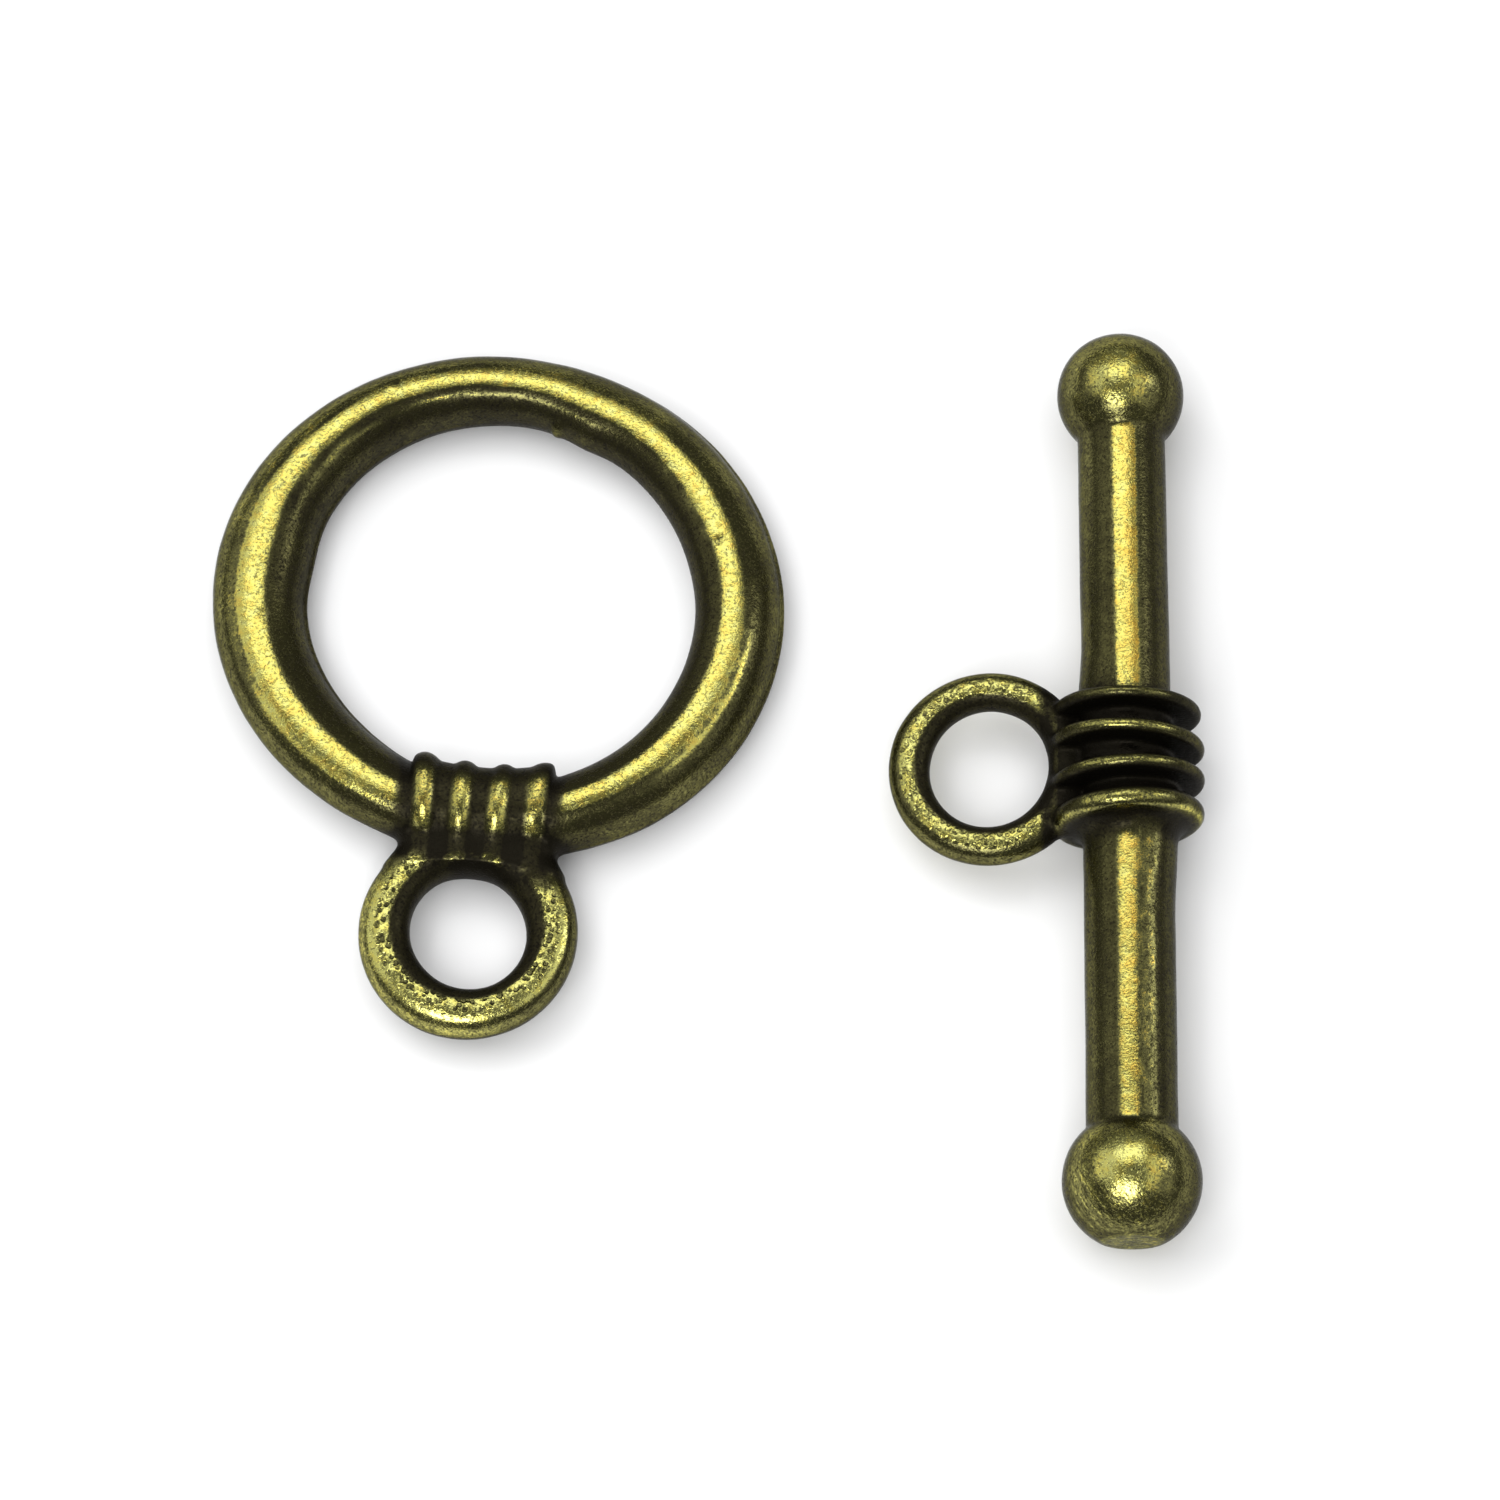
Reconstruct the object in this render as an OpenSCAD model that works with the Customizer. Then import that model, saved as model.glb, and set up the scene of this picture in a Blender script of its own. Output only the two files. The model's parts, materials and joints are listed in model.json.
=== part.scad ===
// A toggle clasp for a necklace or bracelet, in two loose castings that lie side by side.
// The ring half has a ribbed collar and an eye, and the bar half has ribs, balls and an eye.
// Millimetres, +Z up. The castings rest on the plane z = 0, around the middle of their own box.

/* [Ring] */
// Longest width of the ring, nearly across the clasp
ring_w = 15.2; // [13:0.2:20]
// Shortest width of the ring, nearly along the clasp
ring_l = 14.2; // [13:0.05:20]
// Longest width of the ring's hole
hole_w = 10.7; // [8:0.1:11.4]
// Shortest width of the ring's hole
hole_l = 10.2; // [8:0.1:11]
// How far the hole lies off the ring's middle, away from the collar
hole_shift = 0.07; // [0:0.01:0.3]
// Height of the band
band_h = 2.2; // [1.6:0.1:2.5]
// Turn of the ring's longest width, its left end away from the collar
ring_oval_turn = 10; // [0:1:45]
// Turn of the hole's longest width, the same way
hole_oval_turn = 44; // [0:1:60]

/* [Collar on the ring] */
// Number of ribs across the band
rib_count = 4; // [2:1:5]
// Distance from one rib to the next
rib_pitch = 1.03; // [0.8:0.01:1.2]
// Thickness of one rib
rib_t = 0.68; // [0.4:0.02:0.74]
// Diameter of one rib, from its crown to its underside
rib_d = 2.52; // [2.4:0.02:3]
// Depth of the grooves between the ribs
groove_depth = 0.2; // [0.1:0.02:0.3]
// How far the middle of the ribs lies inside the middle of the band
rib_shift = 0.24; // [0:0.02:0.5]

/* [Eye on the ring] */
// Radius of the hole in the ring's eye
ring_eye_hole_r = 1.55; // [1:0.01:2]
// Width of the metal around that hole
ring_eye_wall = 1.27; // [1:0.01:1.6]
// Height of the ring's eye
ring_eye_h = 1.3; // [1.1:0.1:2]
// Radius that rounds the edges of that hole
ring_eye_edge_r = 0.44; // [0.1:0.02:0.45]
// Radius that rounds the eye's outer edges
ring_eye_rim_r = 0.5; // [0.2:0.05:0.55]
// Metal left between that hole and the band
ring_eye_web = 0.68; // [0.4:0.02:0.9]
// Radius of the fillets between the eye and the band
neck_fillet_r = 0.6; // [0.3:0.05:1]

/* [Bar] */
// Radius of the bar
bar_r = 1.16; // [0.9:0.01:1.4]
// From the middle of the bar's ribs to the middle of the far ball
bar_far_l = 10.55; // [8:0.05:14]
// From the middle of the bar's ribs to the middle of the near ball
bar_near_l = 11.3; // [8:0.05:14]
// Radius of the far ball
far_ball_r = 1.7; // [1.5:0.02:1.8]
// Radius of the near ball
near_ball_r = 1.78; // [1.5:0.02:1.85]
// Depth filed off the end of the near ball
filed_depth = 0.12; // [0.05:0.01:0.3]

/* [Ribs on the bar] */
// Number of ribs around the bar
disc_count = 4; // [2:1:5]
// Distance from one rib to the next
disc_pitch = 0.95; // [0.8:0.01:1.2]
// Thickness of one rib
disc_t = 0.5; // [0.4:0.02:0.7]
// Radius of one rib
disc_r = 2.04; // [1.9:0.02:2.4]
// Radius of the fillets between the outer ribs and the bar
disc_fillet_r = 0.4; // [0.2:0.05:0.45]

/* [Eye on the bar] */
// Radius of the hole in the bar's eye
bar_eye_hole_r = 1.6; // [1:0.05:2]
// Width of the metal around that hole
bar_eye_wall = 1.03; // [0.8:0.01:1.4]
// Height of the bar's eye
bar_eye_h = 1; // [0.9:0.05:1.6]
// Radius that rounds the edges of that hole
bar_eye_edge_r = 0.34; // [0.1:0.02:0.34]
// Radius that rounds the eye's outer edges
bar_eye_rim_r = 0.45; // [0.2:0.05:0.45]
// How far that hole cuts into the crowns of the ribs
bar_eye_bite = 0.06; // [0.02:0.02:0.3]

/* [How the halves lie] */
// Turn of the ring half on the table, its eye to the left
ring_turn = 4.2; // [0:0.1:10]
// Turn of the bar half on the table, its near end to the left
bar_turn = 0.6; // [0:0.1:5]
// Roll of the bar half, its eye down
bar_roll = 6; // [0:0.5:12]
// Depth of the flats worn under the bar's ribs, on which it rests
foot_flat = 0.04; // [0.02:0.01:0.1]
// Gap between the ring and the bar's eye
lie_gap = 2.84; // [1:0.01:6]
// How much farther back the ring's middle lies than the bar's ribs
lie_along = 4.85; // [3:0.05:7]

/* [Hidden] */
$fn = 64;
CASTING = "#7a6a2c";
RING_STEPS = 72;
SECTION_STEPS = 20;
ARC_STEPS = 6;
// How far joined forms reach into each other
SINK = 0.04;

// Where the band's two edges cross the clasp's own axis
far_out = oval_r(ring_w, ring_l, ring_oval_turn, 90);
near_out = oval_r(ring_w, ring_l, ring_oval_turn, 270);
far_in = hole_shift + oval_r(hole_w, hole_l, hole_oval_turn, 90);
near_in = oval_r(hole_w, hole_l, hole_oval_turn, 270) - hole_shift;

rib_y = rib_shift - (near_out + near_in) / 2;
ring_eye_r = ring_eye_hole_r + ring_eye_wall;
ring_eye_y = -(near_out + ring_eye_web + ring_eye_hole_r);

// The ring half lies on the far end of its band and on its ribs, so the ribs tip it a little
far_y = (far_out + far_in) / 2;
ring_tip = asin(max(rib_d - band_h, 0) / 2 / (far_y - rib_y));
ring_z = far_y * sin(ring_tip) + norm([band_h / 2 * cos(ring_tip), (far_out - far_in) / 2 * sin(ring_tip)]);

disc_half = ((disc_count - 1) * disc_pitch + disc_t) / 2;
bar_eye_r = bar_eye_hole_r + bar_eye_wall;
bar_eye_x = bar_eye_bite - disc_r - bar_eye_hole_r;
bar_z = disc_r - foot_flat;

// The box around both halves, from which their places follow
ring_lean = ring_oval_turn + ring_turn;
ring_half_w = norm([ring_w * cos(ring_lean), ring_l * sin(ring_lean)]) / 2;
bar_reach = (bar_eye_r - bar_eye_x) * cos(bar_roll);
bar_right = disc_r * cos(bar_turn) + disc_half * sin(bar_turn);
all_w = 2 * ring_half_w + lie_gap + bar_reach + bar_right;
bar_front = bar_near_l * cos(bar_turn) + near_ball_r - filed_depth;
bar_back = bar_far_l * cos(bar_turn) + far_ball_r;
ring_x = ring_half_w - all_w / 2;
bar_x = all_w / 2 - bar_right;
bar_y = (bar_front - bar_back) / 2;
ring_y = bar_y + lie_along;

// How far an oval's edge lies from its middle, in the direction a
function oval_r(long, short, turn, a) =
    1 / norm([cos(a + turn) * 2 / long, sin(a + turn) * 2 / short]);

function outer_at(a) = oval_r(ring_w, ring_l, ring_oval_turn, a) * [cos(a), sin(a)];
function inner_at(a) = [0, hole_shift] + oval_r(hole_w, hole_l, hole_oval_turn, a) * [cos(a), sin(a)];

// One point of the band: a says where along the ring, s where around the section
function band_at(a, s) =
    let (middle = (outer_at(a) + inner_at(a)) / 2, reach = (outer_at(a) - inner_at(a)) / 2)
    concat(middle + reach * cos(s), band_h / 2 * sin(s));

// The middle of one rib, which follows the band
function rib_at(i) =
    let (a = 270 + asin((i - (rib_count - 1) / 2) * rib_pitch * 2 / (near_out + near_in)))
    (outer_at(a) + inner_at(a)) / 2 + [0, rib_shift];

function arc(middle, r, from, to) =
    [for (i = [0:ARC_STEPS]) middle + r * [cos(from + (to - from) * i / ARC_STEPS),
                                           sin(from + (to - from) * i / ARC_STEPS)]];

// A section from x = 0 to w, centred on y = 0, with its left and right corners rounded
module rounded_section(w, h, left_r, right_r) {
    polygon(concat(
        arc([w - right_r, h / 2 - right_r], right_r, 0, 90),
        arc([left_r, h / 2 - left_r], left_r, 90, 180),
        arc([left_r, left_r - h / 2], left_r, 180, 270),
        arc([w - right_r, right_r - h / 2], right_r, 270, 360)));
}

// An eye: a round hole with a straight wall, and a rounded rim around it
module eye(hole_r, wall, h, hole_edge, rim_edge) {
    rotate_extrude() translate([hole_r, 0]) rounded_section(wall, h, hole_edge, min(rim_edge, h / 2));
}

// A rib: a disc with a fully round rim, its middle at the origin and its axis along +Z
module rib(r, t) {
    rotate_extrude() polygon(concat([[0, -t / 2]], arc([r - t / 2, 0], t / 2, -90, 90), [[0, t / 2]]));
}

module ring_band() {
    points = [for (i = [0:RING_STEPS - 1], j = [0:SECTION_STEPS - 1])
              band_at(360 * i / RING_STEPS, 360 * j / SECTION_STEPS)];
    corner = function (i, j) (i % RING_STEPS) * SECTION_STEPS + j % SECTION_STEPS;
    faces = [for (i = [0:RING_STEPS - 1], j = [0:SECTION_STEPS - 1], upper = [0, 1])
             upper == 1 ? [corner(i, j), corner(i, j + 1), corner(i + 1, j + 1)]
                        : [corner(i, j), corner(i + 1, j + 1), corner(i + 1, j)]];
    polyhedron(points, faces, convexity = 4);
}

module collar() {
    for (i = [0:rib_count - 1]) translate(rib_at(i)) rotate([0, 90, 0]) {
        rib(rib_d / 2, rib_t);
        cylinder(h = rib_pitch + SINK, r = rib_d / 2 - groove_depth, center = true);
    }
}

// The metal between the eye and the band, with a fillet on each side
module neck() {
    to_ring = near_out + neck_fillet_r - SINK;
    to_eye = ring_eye_r + neck_fillet_r - SINK;
    fillet_y = (to_ring ^ 2 + ring_eye_y ^ 2 - to_eye ^ 2) / 2 / ring_eye_y;
    fillet_x = sqrt(to_ring ^ 2 - fillet_y ^ 2);
    from_ring = [fillet_x, fillet_y] * (1 - neck_fillet_r / to_ring);
    from_eye = [fillet_x, fillet_y - ring_eye_y] * (1 - neck_fillet_r / to_eye) + [0, ring_eye_y];
    linear_extrude(ring_eye_h - 2 * SINK, center = true) difference() {
        polygon([from_ring, from_eye, [0, ring_eye_y + ring_eye_hole_r + SINK],
                 [-from_eye.x, from_eye.y], [-from_ring.x, from_ring.y], [0, rib_y]]);
        for (side = [-1, 1]) translate([side * fillet_x, fillet_y]) circle(neck_fillet_r);
    }
}

module ring_eye() {
    translate([0, ring_eye_y, 0])
        eye(ring_eye_hole_r, ring_eye_wall, ring_eye_h, ring_eye_edge_r, ring_eye_rim_r);
}

module toggle_ring() {
    color(CASTING) translate([ring_x, ring_y, ring_z]) rotate([0, 0, -ring_turn]) rotate([-ring_tip, 0, 0])
        union() {
            ring_band();
            collar();
            neck();
            ring_eye();
        }
}

module rod() {
    translate([0, -bar_near_l, 0]) rotate([-90, 0, 0]) cylinder(h = bar_near_l + bar_far_l, r = bar_r);
}

module balls() {
    translate([0, bar_far_l, 0]) sphere(far_ball_r);
    translate([0, -bar_near_l, 0]) difference() {
        sphere(near_ball_r);
        translate([-near_ball_r, filed_depth - 3 * near_ball_r, -near_ball_r])
            cube(2 * near_ball_r);
    }
}

module discs() {
    difference() {
        rotate([-90, 0, 0]) ribs_and_fillets();
        translate([bar_eye_x, 0, 0]) cylinder(h = 2 * disc_r, r = bar_eye_hole_r + SINK / 2, center = true);
    }
}

module ribs_and_fillets() {
    for (i = [0:disc_count - 1])
        translate([0, 0, (i - (disc_count - 1) / 2) * disc_pitch]) rib(disc_r, disc_t);
    for (end = [0, 1]) mirror([0, 0, end]) translate([0, 0, disc_half - SINK]) disc_fillet();
}

// The hollow fillet from an outer rib down to the bar
module disc_fillet() {
    middle = [bar_r + disc_fillet_r - SINK, disc_fillet_r];
    rotate_extrude()
        polygon(concat([[0, 0], [middle.x, 0]], arc(middle, disc_fillet_r, 270, 180), [[0, middle.y]]));
}

module bar_eye() {
    translate([bar_eye_x, 0, 0])
        eye(bar_eye_hole_r, bar_eye_wall, bar_eye_h, bar_eye_edge_r, bar_eye_rim_r);
}

// The table's surface under the ribs, which cuts their flats
module table_under_ribs() {
    translate([-disc_r, -disc_half - disc_fillet_r, -disc_r])
        cube([2 * disc_r, 2 * (disc_half + disc_fillet_r), disc_r]);
}

module toggle_bar() {
    color(CASTING) translate([bar_x, bar_y, 0]) rotate([0, 0, -bar_turn])
        difference() {
            translate([0, 0, bar_z]) rotate([0, -bar_roll, 0]) union() {
                rod();
                balls();
                discs();
                bar_eye();
            }
            table_under_ribs();
        }
}

toggle_ring();
toggle_bar();
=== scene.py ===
"""A toggle clasp in antique bronze: a ring half and a bar half, lying side by side on a pale floor.

Each half is one casting. Its skin is worked out as a distance field, in which the forms run into
each other with soft fillets, and takes the place of its plain solid. Lengths are millimetres in
each half's own frame until the skin becomes a mesh in metres.
"""
import json
import math
from collections import namedtuple

import bpy
import numpy as np
from mathutils import Matrix, Vector, noise


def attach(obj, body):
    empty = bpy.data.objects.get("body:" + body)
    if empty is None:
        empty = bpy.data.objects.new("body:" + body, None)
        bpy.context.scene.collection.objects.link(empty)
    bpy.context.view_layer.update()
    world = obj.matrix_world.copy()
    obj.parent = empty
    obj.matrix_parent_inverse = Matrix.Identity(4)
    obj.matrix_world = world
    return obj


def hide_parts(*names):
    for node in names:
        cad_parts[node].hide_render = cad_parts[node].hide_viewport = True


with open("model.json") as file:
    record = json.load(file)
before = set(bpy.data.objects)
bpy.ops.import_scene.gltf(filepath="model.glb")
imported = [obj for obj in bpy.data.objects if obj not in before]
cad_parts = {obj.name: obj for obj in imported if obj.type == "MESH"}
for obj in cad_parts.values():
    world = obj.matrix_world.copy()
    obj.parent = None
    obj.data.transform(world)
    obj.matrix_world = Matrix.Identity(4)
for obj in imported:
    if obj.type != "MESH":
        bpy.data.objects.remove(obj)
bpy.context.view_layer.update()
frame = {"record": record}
MOUNTS = {mount["name"]: mount for mount in frame["record"]["mounts"]}

MM = 0.001
CELL = 0.075  # spacing of the grid that the skins are drawn from

# Camera, floor and lights, in millimetres and degrees; azimuth 0 is the near side and 90 the right
CAMERA_ELEVATION = 70
CAMERA_DISTANCE = 148.4
CAMERA_TARGET = (1.125, 1.15, 1.1)
CAMERA_LENS = 134.4
CAMERA_SENSOR = 36
FLOOR_REACH = 2000
SKY_COLOUR, SKY_STRENGTH = (0.95, 0.97, 1.0, 1), 0.15
LIGHTS = [
    # name, azimuth, elevation, distance, width, height, radiance, whether the metal reflects it
    ("overhead", -173, 60, 200, 140, 105, 1.3, True),
    ("front", -20, 53, 220, 125, 95, 4.6, True),
    ("right", 86, 42, 220, 220, 190, 0.5, True),
    ("spot", 104, 33, 220, 60, 60, 2.0, True),
    ("left", -108, 38, 260, 230, 200, 0.5, True),
    ("fill_left", -110, 50, 300, 240, 240, 2.0, False),
    ("fill_top", 0, 88, 320, 300, 300, 2.0, False),
]

# An eye: the radii of its hole and its outside, its height, the power of its wall's section, how
# oval its hole is and in which direction it is longest, how far its worn flat face lies outside the
# middle of the wall, how far from there the face's wear ends and is full, over what distance the
# wear of the rim outside it comes in, and how worn the face is
Eye = namedtuple("Eye", "hole_r r height power oval oval_turn face_shift face_edge rim_reach face_wear")

# Ring half, with the far side of the ring at +Y and its eye at -Y
RING_LONG, RING_SHORT = 15.2, 14.2
HOLE_LONG, HOLE_SHORT = 10.7, 10.2
HOLE_SHIFT = 0.11  # of the hole's middle to the far side
RING_OVAL_TURN, HOLE_OVAL_TURN = math.radians(10), math.radians(44)
RING_TURN = math.radians(4.2)
BAND_HEIGHT = 2.2
MOULD_STEP, MOULD_LINE = 0.09, 0.1  # how far the band's upper half lies off the lower, over what height
CREST_LEAN, CREST_TO_NEAR = 0.16, 0.1  # slopes of the crest to the left and to the near side
RING_SWELLS = [
    # direction of the middle and reach to each side in degrees, height
    (172, 32, 0.09),
    (98, 45, 0.12),
    (52, 20, 0.05),
    (-14, 30, -0.07),
]
LEAN_SWELLS = [
    (176, 30, -0.08),
    (0, 40, -0.03),
]
HOLE_SWELLS = [
    (135, 30, 0.03),
    (48, 28, -0.03),
    (70, 10, -0.13),
    (170, 9, -0.08),
    (0, 14, 0.04),
    (230, 20, -0.05),
    (195, 20, 0.04),
]
COLLAR_HALF = 1.84
BAND_IN_COLLAR = 0.1  # how far the band's ends reach into the collar
SLEEVE_R, SLEEVE_POWER = 1.26, 2.3
SLEEVE_SHIFT = 0.26  # of the collar's middle line to the far side of the band's
GROOVE_DEPTH = 0.14
RIBS = [
    # from the collar's middle, lean to the right in degrees, thickness, radius
    (-1.48, 0, 0.8, 1.26),
    (-0.49, 1, 0.7, 1.25),
    (0.49, 2, 0.68, 1.23),
    (1.49, 1, 0.76, 1.18),
]
NECK_HALF_W, NECK_HALF_H, NECK_POWER = 1.75, 0.56, 4
NECK_FROM_EYE = 1.9
RING_EYE = Eye(hole_r=1.55, r=2.88, height=1.3, power=2.2, oval=0.06, oval_turn=math.radians(-60),
               face_shift=0.11, face_edge=(0.35, 0.27), rim_reach=0.3, face_wear=0.72)
RING_EYE_WEB = 0.68
RING_EYE_X, RING_EYE_LIFT = -0.035, 0.09  # the cast eye lies this far to the right and far side of its place
SLEEVE_EDGE, BAND_END, RIB_FILLET = 0.2, 0.25, 0.07
COLLAR_FILLET, NECK_FILLET, RING_EYE_FILLET = 0.15, 0.3, 0.5

# Bar half, with the far ball at +Y and its eye at -X
BAR_R = 1.17
FAR_L, NEAR_L = 10.61, 11.29
FAR_BALL_R, NEAR_BALL_R, FILED_DEPTH = 1.7, 1.8, 0.19
FAR_BOW, NEAR_BOW = 0.055, 0.02  # how far each end lies to the left of the middle
FLASH_ALONG, FLASH_BY_DISCS = 0.03, 0.1
BAR_TURN = math.radians(0.6)
DISC_R = 2.04
DISCS = [
    # along the bar, lean to the right, radius, thickness, fillet
    (1.45, -0.02, 1.96, 0.34, 0.16),
    (0.52, -0.05, 2.03, 0.36, 0.16),
    (-0.49, 0.03, 2.03, 0.36, 0.16),
    (-1.46, 0.05, 2.01, 0.56, 0.6),
]
BAR_EYE = Eye(hole_r=1.6, r=2.66, height=1.0, power=2.1, oval=0.05, oval_turn=math.radians(80),
              face_shift=0.02, face_edge=(0.27, 0.15), rim_reach=0.15, face_wear=0.7)
BAR_EYE_BITE = 0.06
BAR_EYE_LEFT, BAR_EYE_LIFT = 0.06, 0.03  # the cast eye lies this far to the left and far side of its place
ROD_END, BAR_EYE_FILLET, FILED_EDGE = 0.1, 0.2, 0.06
FAR_BALL_FILLET, NEAR_BALL_FILLET = 0.1, 0.08
HOLE_CLEAR, HOLE_EDGE = 0.05, 0.12

# Which way the ring's skin faces where painted light from the left makes it lighter, and which way the bar's
# two parts face where they are most worn
RING_PAINTED_LIGHT_FROM = Vector((-0.97, -0.15, 0.15)).normalized()
NEAR_BAR_WORN_FROM = Vector((-0.01, 0, 1)).normalized()
FAR_BAR_WORN_FROM = Vector((0.09, 0, 1)).normalized()

# Stretches of the ring, by direction from its middle in degrees: where each starts, is full, fades and ends.
# The far, far inside and two near stretches carry painted light; the far right and far left ones carry wear
# of their own
FAR_PAINTED_LIGHT = 45, 65, 115, 140
FAR_RIGHT = 12, 30, 50, 68
FAR_INSIDE_PAINTED_STREAK = 56, 66, 150, 168
FAR_LEFT = 82, 100, 152, 172
NEAR_RIGHT_PAINTED_STREAK = -50, -38, -12, -2
NEAR_LEFT_PAINTED_STREAK = -160, -145, -118, -108
# The stretch at the left, where a painted highlight line runs along the crest's outer edge
PAINTED_LINE_LEFT_START, PAINTED_LINE_LEFT_FULL = 140, 160  # the stretch at the left, the same towards both sides

UNDERSIDE_WEAR = 0.6  # share of the ring's wear that its underside has
HOLLOW_DARK = 0.7  # how much wear the deepest hollow takes away
HOLLOW_REACHES = 0.15, 0.3, 0.6  # how far out from the skin other forms are looked for

# How the file's strokes on the near ball run: turned to the left from the bar's own direction
FILED_TURN = math.radians(30)

# Small marks on the ring's upper half: a nub of flash on the hole's edge, and pits
MARKS = [
    # across, along, up, radius, height above the skin
    (1.1, 5.12, 0.3, 0.15, 0.15),
    (1.5, 5.12, 0.4, 0.12, 0.1),
    (1.9, 4.95, 0.3, 0.25, 0.05),
    (5.72, 1.9, 0.9, 0.11, -0.12),
    (-3.4, 5.55, 1.0, 0.08, -0.05),
    (-3.3, 5.85, 1.0, 0.07, -0.05),
    (5.6, 3.2, 0.8, 0.13, -0.03),
    (-6.2, -1.1, 1.0, 0.14, -0.03),
]
MARK_SHOWS = 8  # how strongly each millimetre of a mark shows as wear or as a hollow

# Colours of the bronze: the dark skin by its level of wear and painted light, and the bare metal by its
# warmth
TONE_BY_LEVEL = [
    (0.0, (0.014, 0.012, 0.007)),
    (0.22, (0.036, 0.032, 0.015)),
    (0.4, (0.078, 0.072, 0.028)),
    (0.55, (0.17, 0.16, 0.06)),
    (0.72, (0.36, 0.335, 0.10)),
]
GOLD_BY_WARMTH = [
    (0.0, (0.82, 0.79, 0.25)),
    (0.3, (0.835, 0.75, 0.18)),
    (1.0, (0.90, 0.58, 0.09)),
]
HOLLOW_COLOUR = (0.014, 0.012, 0.008, 1)


# Distance fields

def ramp(value, low, high):
    t = np.clip((value - low) / (high - low), 0, 1)
    return t * t * (3 - 2 * t)


def within(value, start, full, fading, end):
    """1 from full to fading, and 0 before start and past end."""
    return ramp(value, start, full) * ramp(value, end, fading)


def smooth_min(a, b, k):
    h = np.clip(0.5 + 0.5 * (b - a) / k, 0, 1)
    return b + (a - b) * h - k * h * (1 - h)


def smooth_max(a, b, k):
    return -smooth_min(-a, -b, k)


def oval_radius(long, short, turn, angle):
    return 1 / np.hypot(np.cos(angle + turn) * 2 / long, np.sin(angle + turn) * 2 / short)


def swell(angle, bumps):
    out = 0
    for middle, reach, height in bumps:
        away = (angle - math.radians(middle) + math.pi) % (2 * math.pi) - math.pi
        out = out + height * np.exp(-(away / math.radians(reach)) ** 2)
    return out


def ring_edges(angle):
    """How far the band's outer and inner edges lie from the ring's middle."""
    outer = oval_radius(RING_LONG, RING_SHORT, RING_OVAL_TURN, angle) + swell(angle, RING_SWELLS)
    inner = oval_radius(HOLE_LONG, HOLE_SHORT, HOLE_OVAL_TURN, angle) + swell(angle, HOLE_SWELLS)
    return outer, inner + HOLE_SHIFT * np.sin(angle)


NEAR_OUT, NEAR_IN = ring_edges(-math.pi / 2)
COLLAR_R = (NEAR_OUT + NEAR_IN) / 2
OWN_RING_EYE = (0, -(NEAR_OUT + RING_EYE_WEB + RING_EYE.hole_r), 0)
OWN_BAR_EYE = (BAR_EYE_BITE - DISC_R - BAR_EYE.hole_r, 0, 0)
RING_EYE_Y = OWN_RING_EYE[1] + RING_EYE_LIFT
BAR_EYE_X = OWN_BAR_EYE[0] - BAR_EYE_LEFT


def band_field(x, y, z):
    """The ring itself, whose upper half was cast a little to the left and near side of its lower half."""
    lean = CREST_LEAN + swell(np.arctan2(y, x), LEAN_SWELLS)
    x = x + MOULD_STEP / 2 * np.clip(2 * z / MOULD_LINE, -1, 1) + lean * z
    y = y + CREST_TO_NEAR * z
    outer, inner = ring_edges(np.arctan2(y, x))
    across = (outer - inner) / 2
    u = np.hypot(x, y) - (outer + inner) / 2
    near = np.hypot(u / across, z * 2 / BAND_HEIGHT)
    slope = np.hypot(u / across ** 2, z * 4 / BAND_HEIGHT ** 2)
    return near * (near - 1) / np.maximum(slope, 1e-6)


def disc_field(along, radial, r, thickness):
    """A disc with a fully round rim."""
    return np.hypot(np.maximum(radial - r + thickness / 2, 0), along) - thickness / 2


def rounded(u, v, half_u, half_v, power):
    """A section between an ellipse, at power 2, and a rectangle."""
    near = (np.abs(u / half_u) ** power + np.abs(v / half_v) ** power) ** (1 / power)
    return (near - 1) * min(half_u, half_v)


def eye_hole(x, y, eye):
    """How far the edge of an eye's hole lies from its middle, in the direction of a point."""
    return eye.hole_r + eye.oval * np.cos(2 * (np.arctan2(y, x) - eye.oval_turn))


def eye_field(x, y, z, eye):
    inner = eye_hole(x, y, eye)
    middle_r, half_wall = (eye.r + inner) / 2, (eye.r - inner) / 2
    u = (np.hypot(x, y) - middle_r) / half_wall
    near = (np.abs(u) ** eye.power + np.abs(z * 2 / eye.height) ** eye.power) ** (1 / eye.power)
    return (near - 1) * (eye.r - eye.hole_r) / 2


def through_hole(x, y, eye, body):
    """Clears what other forms left in an eye's hole."""
    return smooth_max(body, eye_hole(x, y, eye) - HOLE_CLEAR - np.hypot(x, y), HOLE_EDGE)


def along_rib(x, y, at, lean):
    """How far beside the middle of one of the collar's ribs a point lies."""
    return x - at - math.tan(math.radians(lean)) * (y + COLLAR_R)


def collar_field(x, y, z):
    centre_y = SLEEVE_SHIFT - np.sqrt(np.maximum(COLLAR_R ** 2 - x ** 2, 1))
    radial = SLEEVE_R + rounded(y - centre_y, z, SLEEVE_R, SLEEVE_R, SLEEVE_POWER)
    sleeve = smooth_max(radial - SLEEVE_R + GROOVE_DEPTH, np.abs(x) - COLLAR_HALF, SLEEVE_EDGE)
    for at, lean, thickness, r in RIBS:
        rib = disc_field(along_rib(x, y, at, lean), radial, r, thickness)
        sleeve = smooth_min(sleeve, rib, RIB_FILLET)
    return sleeve


def neck_field(x, y, z):
    """The low web that fills the corner between the collar and the eye."""
    ends = np.maximum(RING_EYE_Y + NECK_FROM_EYE - y, y + COLLAR_R)
    return np.maximum(rounded(x, z, NECK_HALF_W, NECK_HALF_H, NECK_POWER), ends)


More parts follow.
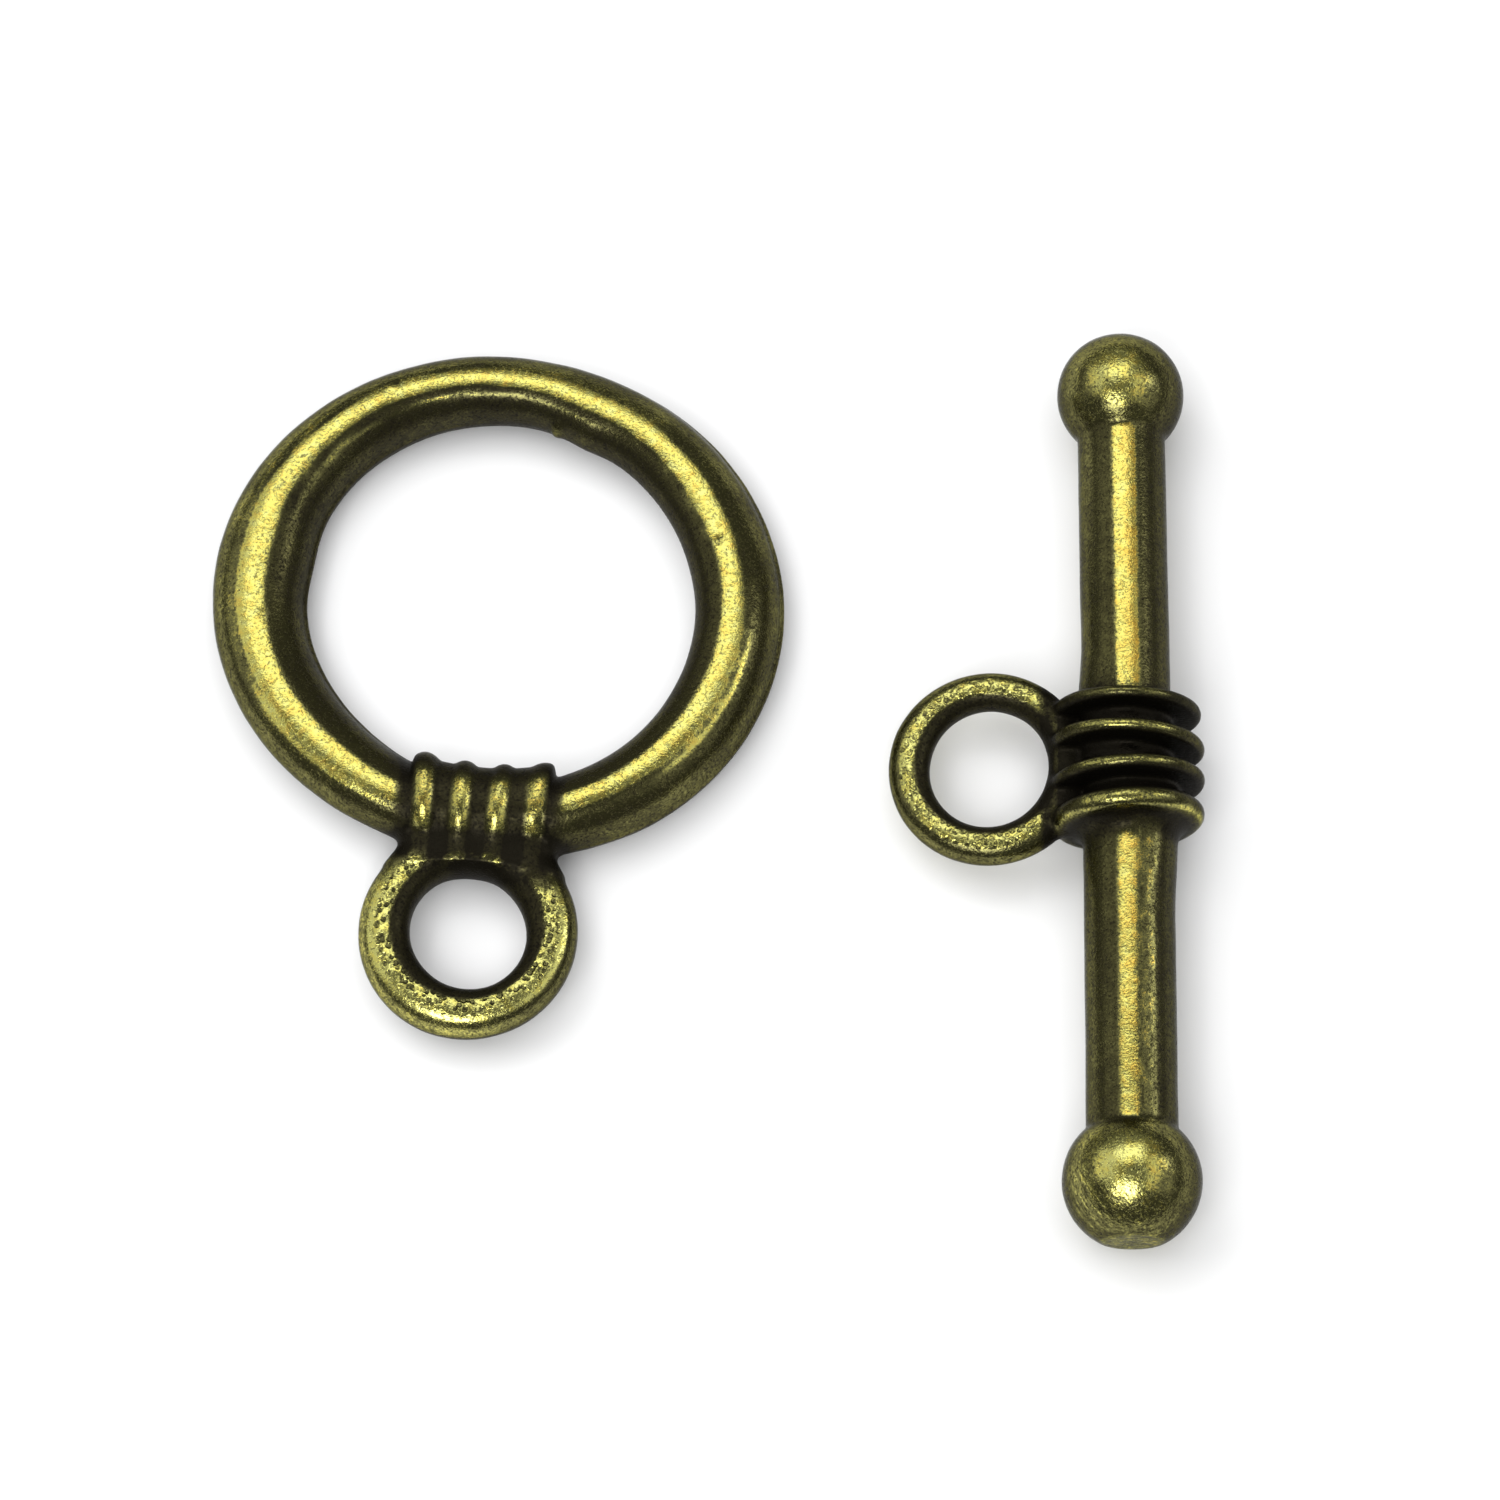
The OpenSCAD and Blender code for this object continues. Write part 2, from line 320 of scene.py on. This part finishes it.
def ring_field(x, y, z):
    in_collar = np.where(y < 0, COLLAR_HALF - BAND_IN_COLLAR - np.abs(x), -RING_LONG)
    body = smooth_max(band_field(x, y, z), in_collar, BAND_END)
    body = smooth_min(body, collar_field(x, y, z), COLLAR_FILLET)
    body = smooth_min(body, neck_field(x, y, z), NECK_FILLET)
    eye_x, eye_y = x - RING_EYE_X, y - RING_EYE_Y
    body = smooth_min(body, eye_field(eye_x, eye_y, z, RING_EYE), RING_EYE_FILLET)
    return through_hole(eye_x, eye_y, RING_EYE, body)


def flash(x, y):
    """How thick the flash is: along the near part's right, and by the discs on the far part's left."""
    near = ramp(x, 0.3, 1.15) * (FLASH_ALONG + FLASH_BY_DISCS * ramp(-y, 4.2, 1.9)) * (y < 0)
    far = FLASH_BY_DISCS * ramp(-x, 0.3, 1.15) * ramp(y, 3.4, 1.7) * (y > 0)
    return near + far


def bar_field(x, y, z):
    x = x + np.maximum(FAR_BOW * y / FAR_L, -NEAR_BOW * y / NEAR_L)
    radial = np.hypot(x, z)
    body = smooth_max(radial - BAR_R - flash(x, y), np.maximum(y - FAR_L, -NEAR_L - y), ROD_END)
    for at, lean, r, thickness, fillet in DISCS:
        body = smooth_min(body, disc_field(y - at - lean * x, radial, r, thickness), fillet)
    eye_x, eye_y = x - BAR_EYE_X, y - BAR_EYE_LIFT
    body = smooth_min(body, eye_field(eye_x, eye_y, z, BAR_EYE), BAR_EYE_FILLET)
    body = through_hole(eye_x, eye_y, BAR_EYE, body)
    body = smooth_min(body, np.hypot(radial, y - FAR_L) - FAR_BALL_R, FAR_BALL_FILLET)
    body = smooth_min(body, np.hypot(radial, y + NEAR_L) - NEAR_BALL_R, NEAR_BALL_FILLET)
    return smooth_max(body, -NEAR_L - NEAR_BALL_R + FILED_DEPTH - y, FILED_EDGE)


# Skins

def slopes(field, points, step=0.02):
    """How the field rises along each axis at each point."""
    out = np.empty_like(points)
    for axis in range(3):
        ahead, behind = points.copy(), points.copy()
        ahead[:, axis] += step
        behind[:, axis] -= step
        out[:, axis] = field(*ahead.T) - field(*behind.T)
    return out / (2 * step)


def surface_net(field, low, high):
    """Points and four-sided faces of the skin on which the field is zero."""
    count = np.ceil((high - low) / CELL).astype(int) + 1
    x, y, z = (low[i] + CELL * np.arange(count[i]) for i in range(3))
    value = field(x[:, None, None], y[None, :, None], z[None, None, :])
    cells = tuple(count)
    total, hits, faces = np.zeros((3, value.size)), np.zeros(value.size), []
    for axis in range(3):
        e, f = (axis + 1) % 3, (axis + 2) % 3
        step = np.eye(3, dtype=int)
        first = np.take(value, range(count[axis] - 1), axis)
        second = np.take(value, range(1, count[axis]), axis)
        edge = np.argwhere((first < 0) != (second < 0))
        a, b = value[tuple(edge.T)], value[tuple((edge + step[axis]).T)]
        crossing = edge + np.outer(a / (a - b), step[axis])
        corners = []
        for de, df in ((0, 0), (1, 0), (1, 1), (0, 1)):
            cell = np.ravel_multi_index(tuple((edge - de * step[e] - df * step[f]).T), cells)
            hits += np.bincount(cell, minlength=value.size)
            for k in range(3):
                total[k] += np.bincount(cell, crossing[:, k], value.size)
            corners.append(cell)
        quad = np.stack(corners, 1)
        quad[a > 0] = quad[a > 0][:, ::-1]
        faces.append(quad)
    used = np.flatnonzero(hits)
    number = np.zeros(value.size, int)
    number[used] = np.arange(len(used))
    points = low + CELL * (total[:, used] / hits[used]).T
    return points, number[np.concatenate(faces)]


def settle(field, points, rounds=3):
    """Moves the points onto the skin itself."""
    for _ in range(rounds):
        slope = slopes(field, points)
        points = points - slope * (field(*points.T) / (slope ** 2).sum(1))[:, None]
    return points


def hollows(field, points, normals):
    """How deep in a groove or corner each point lies, from 0 to 1."""
    depth = np.zeros(len(points))
    for reach in HOLLOW_REACHES:
        clear = field(*(points + normals * reach).T)
        depth += np.clip(1 - clear / reach, 0, 1)
    return depth / len(HOLLOW_REACHES)


def lumps(points, size, seed):
    """Soft noise from -1 to 1, with lumps of the given size."""
    shift = Vector((seed * 7.3, seed * 3.1, seed * 5.7))
    return np.array([noise.noise(Vector(p) / size + shift) for p in points])


def make_skin(name, field, box, place, finish):
    points, faces = surface_net(field, *np.array(box))
    points = settle(field, points)
    normals = slopes(field, points)
    normals /= np.linalg.norm(normals, axis=1)[:, None]
    rise, marks = finish(points, normals, hollows(field, points, normals))
    points = points + normals * rise[:, None]
    turn, shift = np.array(place.to_3x3()), np.array(place.translation)
    world = points @ turn.T * MM + shift
    world[:, 2] = np.maximum(world[:, 2], 0)
    mesh = bpy.data.meshes.new(name)
    mesh.from_pydata(world.tolist(), [], faces.tolist())
    mesh.shade_smooth()
    for mark, values in marks.items():
        mesh.attributes.new(mark, "FLOAT", "POINT").data.foreach_set("value", values.astype(np.float32))
    mesh.update()
    piece = bpy.data.objects.new(name, mesh)
    bpy.context.scene.collection.objects.link(piece)
    return piece


def placed(mount, own_eye, across=None, along=None):
    """Where a half lies: its eye is where the frame has it, and one of its directions is level and known."""
    axis = Vector(MOUNTS[mount]["axis"])
    if along is None:
        along = axis.cross(across).normalized()
    across = along.cross(axis).normalized()
    turned = Matrix((across, along, axis)).transposed()
    middle = Vector(MOUNTS[mount]["pos_m"]) - turned @ Vector(own_eye) * MM
    return Matrix.Translation(middle) @ turned.to_4x4()


# Wear and painted light, from 0 where the dark skin is whole or in painted shade to 1 where the metal is
# bare or in painted light; each painted part is noted where it is added. Crown is 1 where the skin faces
# straight up or down, and 0 where it is upright.

def mixed(first, second, share):
    return first * (1 - share) + share * second


def unevenness(points, broad, fine, seed):
    return broad * lumps(points, 2.2, seed) + fine * lumps(points, 0.7, seed + 1)


def mark_heights(points):
    """The height that each small mark has at each point."""
    x, y, z = points.T
    heights = []
    for across, along, up, r, height in MARKS:
        away = ((x - across) ** 2 + (y - along) ** 2 + (z - up) ** 2 / 4) / r ** 2
        heights.append(height * np.exp(-away))
    return np.array(heights)


def band_wear_and_painted_light(points, normals):
    """Wear on the ring itself, its flanks and crest, with painted light on the outer flanks that face the
    left; then the stretches with wear or painted light of their own.
    """
    x, y, z = points.T
    crown = np.abs(normals[:, 2])
    outward = (normals[:, 0] * x + normals[:, 1] * y) / np.maximum(np.hypot(x, y), 0.1)
    outer, inner, upper = outward > 0, outward < 0, z > 0
    # Painted light: the outer flanks are lighter the more they face the left, and more so towards the crest
    painted_light = normals @ RING_PAINTED_LIGHT_FROM * outer
    wear = 0.38 + np.where(outer, 0.04, 0.14) * outward + 0.12 * ramp(painted_light, 0, 0.9)
    wear += 0.09 * ramp(painted_light, 0.1, 0.4) * ramp(crown, 0.55, 0.95) + 0.08 * lumps(points, 1.3, 4)
    wear += 0.06 * ramp(crown, 0.7, 0.84) + 0.48 * ramp(crown - 0.0015 * np.abs(x), 0.935, 0.98)

    towards = np.degrees(np.arctan2(y, x))
    # Painted light on the far part's outer slope, below the crest
    wear += 0.2 * within(towards, *FAR_PAINTED_LIGHT) * outer * ramp(crown, 0.8, 0.9)
    patches = 0.12 + 0.3 * lumps(points, 0.3, 13)
    wear += patches * within(towards, *FAR_RIGHT) * inner * ramp(crown, 0.86, 0.95)
    scratches = lumps(np.stack([0.9 * np.radians(towards), np.hypot(x, y), z], 1), 0.14, 15) - 0.1
    wear += 0.3 * scratches * within(towards, *FAR_LEFT) * ramp(crown, 0.78, 0.88)

    # Painted highlight: a thin streak of the front lamp's light along the far part's inner slope
    painted_streak_far_inside = within(towards, *FAR_INSIDE_PAINTED_STREAK) * inner * upper
    wear += 0.2 * painted_streak_far_inside * ramp(np.abs(crown - 0.84), 0.06, 0.02) * (1 + 0.8 * lumps(points, 0.35, 11))
    # Painted highlight: a thin line of light along the outer edge of the crest at the left
    left = ramp(np.abs(towards), PAINTED_LINE_LEFT_START, PAINTED_LINE_LEFT_FULL) * outer
    wear += 0.24 * left * ramp(np.abs(crown - 0.955), 0.014, 0.006)
    # Painted highlight: streaks of the front lamp's light along the near part's upper outer slopes, left and
    # right, broken up by noise
    painted_streaks_near_sides = (within(towards, *NEAR_RIGHT_PAINTED_STREAK) + within(towards, *NEAR_LEFT_PAINTED_STREAK)) * outer * upper
    wear += 0.28 * painted_streaks_near_sides * ramp(np.abs(crown - 0.89), 0.04, 0.012)
    wear += 0.22 * painted_streaks_near_sides * ramp(crown, 0.87, 0.9) * (1 + lumps(points, 0.3, 14))
    return wear


def eye_wear(from_eye, eye, rim_wear_and_painted_light):
    """Where an eye's flat face is, and the wear on the face, with the rim around it at the level given,
    which on the ring's eye also carries painted light.
    """
    face_r = (eye.r + eye.hole_r) / 2 + eye.face_shift
    face = ramp(np.abs(from_eye - face_r), *eye.face_edge)
    rim = ramp(from_eye, face_r, face_r + eye.rim_reach)
    return face, 0.14 + eye.face_wear * face + rim_wear_and_painted_light * rim * (1 - face)


def collar_wear_and_painted_light(x, y, normals):
    """Where the collar is, and the wear there: bright on the tops of the ribs, with painted light on their
    slopes that face the near side, and dark in the grooves.
    """
    in_collar = ramp(np.abs(x), COLLAR_HALF + 0.5, COLLAR_HALF + 0.1)
    in_collar *= within(y, RING_EYE_Y + 1.5, RING_EYE_Y + 1.9, -NEAR_IN + 0.2, -NEAR_IN + 0.6)
    beside = np.min([np.abs(along_rib(x, y, at, lean)) for at, lean, *_ in RIBS], 0)
    around = np.degrees(np.arctan2(normals[:, 1], np.abs(normals[:, 2])))
    rib_top = within(around, -66, -48, 10, 34)
    # Painted highlight: the ribs' slopes that face the near side are lighter where the front lamp's light
    # falls
    wear = 0.16 + 0.6 * rib_top * ramp(beside, 0.35, 0.18) + 0.14 * rib_top * ramp(around, -30, -45)
    return in_collar, wear


def neck(x, y, from_eye):
    """Where the dark neck is, and where its specks of bare metal run along the eye's edge."""
    in_neck = ramp(y + 0.18 * x, RING_EYE_Y + 1.35, RING_EYE_Y + 1.8)
    in_neck *= ramp(y, -NEAR_OUT + 0.5, -NEAR_OUT + 0.3) * ramp(np.abs(x), 2.3, 1.9)
    specks = ramp(np.abs(from_eye - RING_EYE.hole_r - 0.36), 0.15, 0.04) * ramp(y - RING_EYE_Y, 0.9, 1.3)
    return in_neck, specks


def ring_finish(points, normals, hollow):
    """How far the skin rises at each point, and what the bronze's nodes need to know there."""
    x, y, z = points.T
    eye_x, eye_y = x - RING_EYE_X, y - RING_EYE_Y
    from_eye = np.hypot(eye_x, eye_y)
    on_eye = ramp(from_eye, RING_EYE.r + 0.1, RING_EYE.r - 0.05) * ramp(eye_y, 2.6, 2.2)
    heights = mark_heights(points)
    hollow = np.maximum(hollow, -MARK_SHOWS * heights.min(0))
    wear = band_wear_and_painted_light(points, normals) + 0.3 * np.clip(MARK_SHOWS * heights.max(0), 0, 1)

    # Painted light: the eye's rim is lighter towards its near left, where the front lamp falls
    rim_wear_and_painted_light = 0.3 + 0.22 * ramp(-eye_x - 0.5 * eye_y, -2, 2)
    face, on_face = eye_wear(from_eye, RING_EYE, rim_wear_and_painted_light)
    wear = mixed(wear, on_face, on_eye)
    in_collar, on_collar = collar_wear_and_painted_light(x, y, normals)
    wear = mixed(wear, on_collar, in_collar)
    in_neck, specks = neck(x, y, from_eye)
    wear += in_neck * (0.5 * specks * ramp(lumps(points, 0.1, 12), -0.2, 0.3) - 0.32)
    hollow = np.maximum(hollow, 0.4 * in_neck * (1 - specks))
    wear = wear * np.where(normals[:, 2] < 0, UNDERSIDE_WEAR, 1) - HOLLOW_DARK * hollow

    pitted = face * on_eye * (1 - in_neck) * ramp(from_eye, 2.52, 2.34)
    rise = unevenness(points, 0.02, 0.008, 2) + heights.sum(0)
    rise += pitted * (0.03 * lumps(points, 0.26, 1) + 0.015 * lumps(points, 0.15, 9))
    filed = np.zeros(len(points))
    warmth = 0.3 - 0.25 * on_eye
    return rise, {"wear": wear, "hollow": hollow, "pitted": pitted, "filed": filed, "warmth": warmth}


def rod_wear_and_painted_light(points, normals, near_part):
    """Wear on the round bar, a bright band on top; to its right a band lightened as a painted reflection,
    mottled on the near part; painted shade on the side that faces the right, and painted shadow on the near
    part just in front of the discs.
    """
    y = points[:, 1]
    worn = np.abs(np.where(y < 0, normals @ NEAR_BAR_WORN_FROM, normals @ FAR_BAR_WORN_FROM))
    worn = ramp(worn - 0.016 * near_part, 0.945, 0.985)
    # Painted shade: the side of the bar that faces the right is darker
    wear = 0.42 - 0.12 * ramp(normals[:, 0], 0.2, 0.8) + 0.54 * worn + 0.05 * lumps(points, 1.3, 8)
    # Partly painted reflection: the band to the right of the top, where the right lamp reflects, is lighter;
    # on the near part it is also mottled like worn metal
    beside = within(normals[:, 0], 0.08, 0.16, 0.53, 0.6) * (normals[:, 2] > 0) * (1 - worn)
    mottled = 0.16 + 0.2 * lumps(points * (1, 0.4, 1), 0.12, 16)
    wear += (0.06 + near_part * mottled) * beside
    # Painted shadow: the near part of the bar is darker just in front of the discs
    return wear - 0.27 * ramp(np.abs(y), 2.5, 1.9) * (y < 0)


def ball_wear_and_painted_shade(y, normals, near_part):
    crown = np.abs(normals[:, 2])
    wear = 0.38 + 0.2 * ramp(crown, 0.25, 0.8) + 0.25 * ramp(crown, 0.8, 0.97)
    # The near ball is a little more worn; painted shade makes the side of the balls that faces the right
    # darker
    wear += 0.04 * near_part - 0.1 * ramp(normals[:, 0], 0.2, 0.8)
    filed_flat = ramp(-normals[:, 1], 0.93, 0.98) * (y < -NEAR_L)
    return wear + 0.2 * filed_flat


def disc_wear_and_painted_light(x, y, radial, normals):
    """Wear on the discs, on their rims and less on the far one's, and painted light on the near face of the
    last one.
    """
    crown = np.abs(normals[:, 2])
    wear = 0.06 + 0.4 * ramp(radial, 1.84, 1.95) * ramp(crown, 0.6, 0.92) + 0.26 * ramp(radial, 1.8, 1.9)
    at, lean = DISCS[-1][:2]
    # Painted light: the near face of the last disc is lighter, as where the front lamp falls on it
    painted_lit_near_face = ramp(y - lean * x, at - 0.05, at - 0.2)
    wear += 0.36 * painted_lit_near_face * ramp(radial, 1.5, 1.8) * (1 - ramp(crown, 0.5, 0.8))
    return wear - 0.14 * ramp(y, 1, 1.2)


def bar_finish(points, normals, hollow):
    """How far the skin rises at each point, and what the bronze's nodes need to know there."""
    x, y, z = points.T
    radial = np.hypot(x, z)
    from_eye = np.hypot(x - BAR_EYE_X, y - BAR_EYE_LIFT)
    near_part = ramp(y, -1.6, -2)
    on_balls = np.maximum(ramp(y, FAR_L - 1.3, FAR_L - 1.1), ramp(y, -NEAR_L + 1.3, -NEAR_L + 1.1))
    on_discs = ramp(np.abs(y), 2, 1.8) * ramp(radial, 1.3, 1.5)
    on_eye = ramp(from_eye, BAR_EYE.r + 0.1, BAR_EYE.r - 0.05) * ramp(x, -1.75, -2.15)

    wear = mixed(rod_wear_and_painted_light(points, normals, near_part), ball_wear_and_painted_shade(y, normals, near_part), on_balls)
    wear = mixed(wear, disc_wear_and_painted_light(x, y, radial, normals), on_discs)
    face, on_face = eye_wear(from_eye, BAR_EYE, 0.36)
    wear = mixed(wear, on_face - 0.6 * ramp(x, -2.35, -2.1), on_eye)
    face = face * on_eye
    between_discs = ramp(np.abs(y), 1.7, 1.5) * ramp(radial, 1.55, 1.35) * (1 - on_eye)
    hollow = np.maximum(hollow, 0.8 * between_discs)
    hollow *= 1 - 0.5 * within(y, -2.6, -2.3, -1.75, -1.6)
    wear -= HOLLOW_DARK * hollow

    rise = unevenness(points, 0.014, 0.006, 5)
    rise += face * (0.012 * lumps(points, 0.24, 7) + 0.008 * lumps(points, 0.14, 10))
    filed = ramp(y + 0.6 * x, -NEAR_L, -NEAR_L - 0.9)
    pale = np.max([on_balls * (0.8 + 0.2 * near_part), on_eye, on_discs], 0)
    warmth = (0.4 + 0.4 * ramp(x, -0.1, 0.5)) * (1 - 0.8 * pale)
    warmth += 0.3 * on_balls * near_part * ramp(x, 0.2, 0.8)
    return rise, {"wear": wear, "hollow": hollow, "pitted": face * 0.5, "filed": filed, "warmth": warmth}


# Materials

def add(tree, kind, inputs=(), **settings):
    """A node with its settings, whose inputs take a value or another node's output."""
    node = tree.nodes.new(kind)
    for key, value in settings.items():
        setattr(node, key, value)
    for key, value in dict(inputs).items():
        if isinstance(value, bpy.types.NodeSocket):
            tree.links.new(value, node.inputs[key])
        else:
            node.inputs[key].default_value = value
    return node


def mix_colours(tree, factor, first, second):
    return add(tree, "ShaderNodeMix", {0: factor, 6: first, 7: second}, data_type="RGBA").outputs[2]


def maths(tree, operation, first, second=0.0, third=0.0):
    return add(tree, "ShaderNodeMath", {0: first, 1: second, 2: third}, operation=operation).outputs[0]


def summed(tree, value, layers):
    """Adds each layer to the value, times its share."""
    for layer, share in layers:
        value = maths(tree, "MULTIPLY_ADD", layer, share, value)
    return value


def widened(tree, value):
    """Noise around 0.5 becomes noise from about -1 to 1."""
    return maths(tree, "MULTIPLY_ADD", value, 5.0, -2.5)


def ranged(tree, value, low, high, to_low=0.0, to_high=1.0):
    inputs = {"Value": value, "From Min": low, "From Max": high, "To Min": to_low, "To Max": to_high}
    return add(tree, "ShaderNodeMapRange", inputs, interpolation_type="SMOOTHSTEP").outputs[0]


def colour_ramp(tree, value, stops):
    """A colour for each value; the stops are in ascending order."""
    node = add(tree, "ShaderNodeValToRGB", {0: value})
    elements = node.color_ramp.elements
    for at, colour in stops[2:]:
        elements.new(at)
    for element, (at, colour) in zip(elements, stops):
        element.position = at
        element.color = (*colour, 1)
    return node.outputs[0]


def attribute(tree, name):
    return add(tree, "ShaderNodeAttribute", attribute_name=name).outputs["Fac"]


def speckle(tree, place, size, detail=3.0, rough=0.6):
    inputs = {"Vector": place, "Scale": 1 / size, "Detail": detail, "Roughness": rough}
    return add(tree, "ShaderNodeTexNoise", inputs).outputs["Fac"]


def file_strokes(tree, place):
    """Noise drawn out along the file's strokes, where the metal is filed."""
    drawn_out = {0: place, 2: (0, 0, FILED_TURN), 3: (0.1, 1, 0.1)}
    along_strokes = add(tree, "ShaderNodeMapping", drawn_out, vector_type="TEXTURE").outputs[0]
    strokes = add(tree, "ShaderNodeTexNoise", {"Vector": along_strokes, "Scale": 1.0, "Detail": 1.0})
    return maths(tree, "MULTIPLY", widened(tree, strokes.outputs["Fac"]), attribute(tree, "filed"))


def round_pits(tree, place):
    """Close round pits, where the face of an eye is pitted."""
    cells = add(tree, "ShaderNodeTexVoronoi", {"Vector": place, "Scale": 1 / 0.16}).outputs["Distance"]
    cells = summed(tree, cells, [(speckle(tree, place, 0.3), 0.5)])
    return maths(tree, "MULTIPLY", ranged(tree, cells, 0.82, 0.52), attribute(tree, "pitted"))


def antique_bronze():
    material = bpy.data.materials.new("antique_bronze_cast")
    material.use_nodes = True
    tree = material.node_tree
    shader = tree.nodes["Principled BSDF"]
    place = add(tree, "ShaderNodeTexCoord").outputs["Object"]
    in_mm = add(tree, "ShaderNodeVectorMath", {0: place, 3: 1 / MM}, operation="SCALE").outputs[0]

    fine = widened(tree, speckle(tree, in_mm, 0.06, 2.0))
    middling = widened(tree, speckle(tree, in_mm, 0.28))
    broad = widened(tree, speckle(tree, in_mm, 1.2))
    pits = ranged(tree, speckle(tree, in_mm, 0.085, 2.0, 0.5), 0.44, 0.36)
    big_pits = round_pits(tree, in_mm)
    strokes = file_strokes(tree, in_mm)

    # The level is each point's wear together with the painted light and shade added to it
    level = summed(tree, attribute(tree, "wear"), [
        (middling, 0.06),
        (broad, 0.04),
        (fine, 0.1),
        (big_pits, -0.3),
        (pits, -0.14),
        (strokes, 0.1),
    ])
    warm = summed(tree, attribute(tree, "warmth"), [(middling, 0.35), (fine, 0.1)])
    gold = colour_ramp(tree, warm, GOLD_BY_WARMTH)
    tone = colour_ramp(tree, level, TONE_BY_LEVEL)
    colour = mix_colours(tree, ranged(tree, level, 0.62, 0.88), tone, gold)
    in_hollow = ranged(tree, attribute(tree, "hollow"), 0.3, 0.75)
    colour = mix_colours(tree, in_hollow, colour, HOLLOW_COLOUR)

    metallic = ranged(tree, level, 0.1, 0.6, 0.7, 1.0)
    roughness = summed(tree, ranged(tree, level, 0.0, 0.5, 0.42, 0.17), [(fine, 0.03)])
    height = summed(tree, 0.0, [
        (fine, 0.06),
        (middling, 0.1),
        (pits, -0.3),
        (big_pits, -1.3),
        (strokes, 0.08),
    ])
    bump = add(tree, "ShaderNodeBump", {"Height": height, "Strength": 0.8, "Distance": 0.03 * MM})

    shader.inputs["Specular Tint"].default_value = (0.45, 0.45, 0.45, 1)
    shader.inputs["Specular IOR Level"].default_value = 0.25
    tree.links.new(colour, shader.inputs["Base Color"])
    tree.links.new(metallic, shader.inputs["Metallic"])
    tree.links.new(roughness, shader.inputs["Roughness"])
    tree.links.new(bump.outputs[0], shader.inputs["Normal"])
    return material


def floor_paint():
    material = bpy.data.materials.new("floor_white")
    material.use_nodes = True
    shader = material.node_tree.nodes["Principled BSDF"]
    shader.inputs["Base Color"].default_value = (0.9, 0.9, 0.9, 1)
    shader.inputs["Roughness"].default_value = 0.8
    return material


# Studio

def aimed(obj, target):
    direction = Vector(target) * MM - obj.location
    obj.rotation_euler = direction.to_track_quat("-Z", "Y").to_euler()


def from_angles(azimuth, elevation, distance, target):
    """A place at a distance from the target."""
    a, e = math.radians(azimuth), math.radians(elevation)
    out = Vector((math.sin(a) * math.cos(e), -math.cos(a) * math.cos(e), math.sin(e)))
    return (Vector(target) + out * distance) * MM


def make_camera():
    data = bpy.data.cameras.new("camera")
    data.lens = CAMERA_LENS
    data.sensor_width = CAMERA_SENSOR
    data.clip_start = MM
    data.clip_end = 10
    camera = bpy.data.objects.new("camera", data)
    camera.location = from_angles(0, CAMERA_ELEVATION, CAMERA_DISTANCE, CAMERA_TARGET)
    aimed(camera, CAMERA_TARGET)
    bpy.context.scene.collection.objects.link(camera)
    bpy.context.scene.camera = camera


def make_floor():
    mesh = bpy.data.meshes.new("floor")
    reach = FLOOR_REACH * MM
    corners = [(-reach, -reach, 0), (reach, -reach, 0), (reach, reach, 0), (-reach, reach, 0)]
    mesh.from_pydata(corners, [], [(0, 1, 2, 3)])
    mesh.materials.append(floor_paint())
    floor = bpy.data.objects.new("floor", mesh)
    bpy.context.scene.collection.objects.link(floor)


def make_lights():
    for name, azimuth, elevation, distance, width, height, radiance, reflected in LIGHTS:
        data = bpy.data.lights.new(name, "AREA")
        data.shape = "RECTANGLE"
        data.size, data.size_y = width * MM, height * MM
        data.energy = radiance * math.pi * width * height * MM * MM
        light = bpy.data.objects.new(name, data)
        light.location = from_angles(azimuth, elevation, distance, CAMERA_TARGET)
        aimed(light, CAMERA_TARGET)
        light.visible_glossy = reflected
        light.visible_camera = False
        bpy.context.scene.collection.objects.link(light)


def make_world():
    world = bpy.data.worlds.new("studio")
    world.use_nodes = True
    background = world.node_tree.nodes["Background"]
    background.inputs["Color"].default_value = SKY_COLOUR
    background.inputs["Strength"].default_value = SKY_STRENGTH
    bpy.context.scene.world = world
    bpy.context.scene.view_settings.view_transform = "Standard"


make_camera()
make_floor()
make_lights()
make_world()

# Each skin is drawn in a box, with a little room around it
ring_box = (-7.9, RING_EYE_Y - RING_EYE.r - 0.3, -1.5), (7.9, 7.5, 1.5)
bar_box = (
    (BAR_EYE_X - BAR_EYE.r - 0.3, -NEAR_L - NEAR_BALL_R - 0.3, -2.4),
    (2.4, FAR_L + FAR_BALL_R + 0.3, 2.4),
)
ring_place = placed("ring_eye", OWN_RING_EYE, across=Vector((math.cos(RING_TURN), -math.sin(RING_TURN), 0)))
bar_place = placed("bar_eye", OWN_BAR_EYE, along=Vector((math.sin(BAR_TURN), math.cos(BAR_TURN), 0)))

bronze = antique_bronze()
ring = make_skin("ring_casting", ring_field, ring_box, ring_place, ring_finish)
bar = make_skin("bar_casting", bar_field, bar_box, bar_place, bar_finish)
for piece, node in ((ring, "toggle_ring"), (bar, "toggle_bar")):
    piece.data.materials.append(bronze)
    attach(piece, "root")
    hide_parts(node)
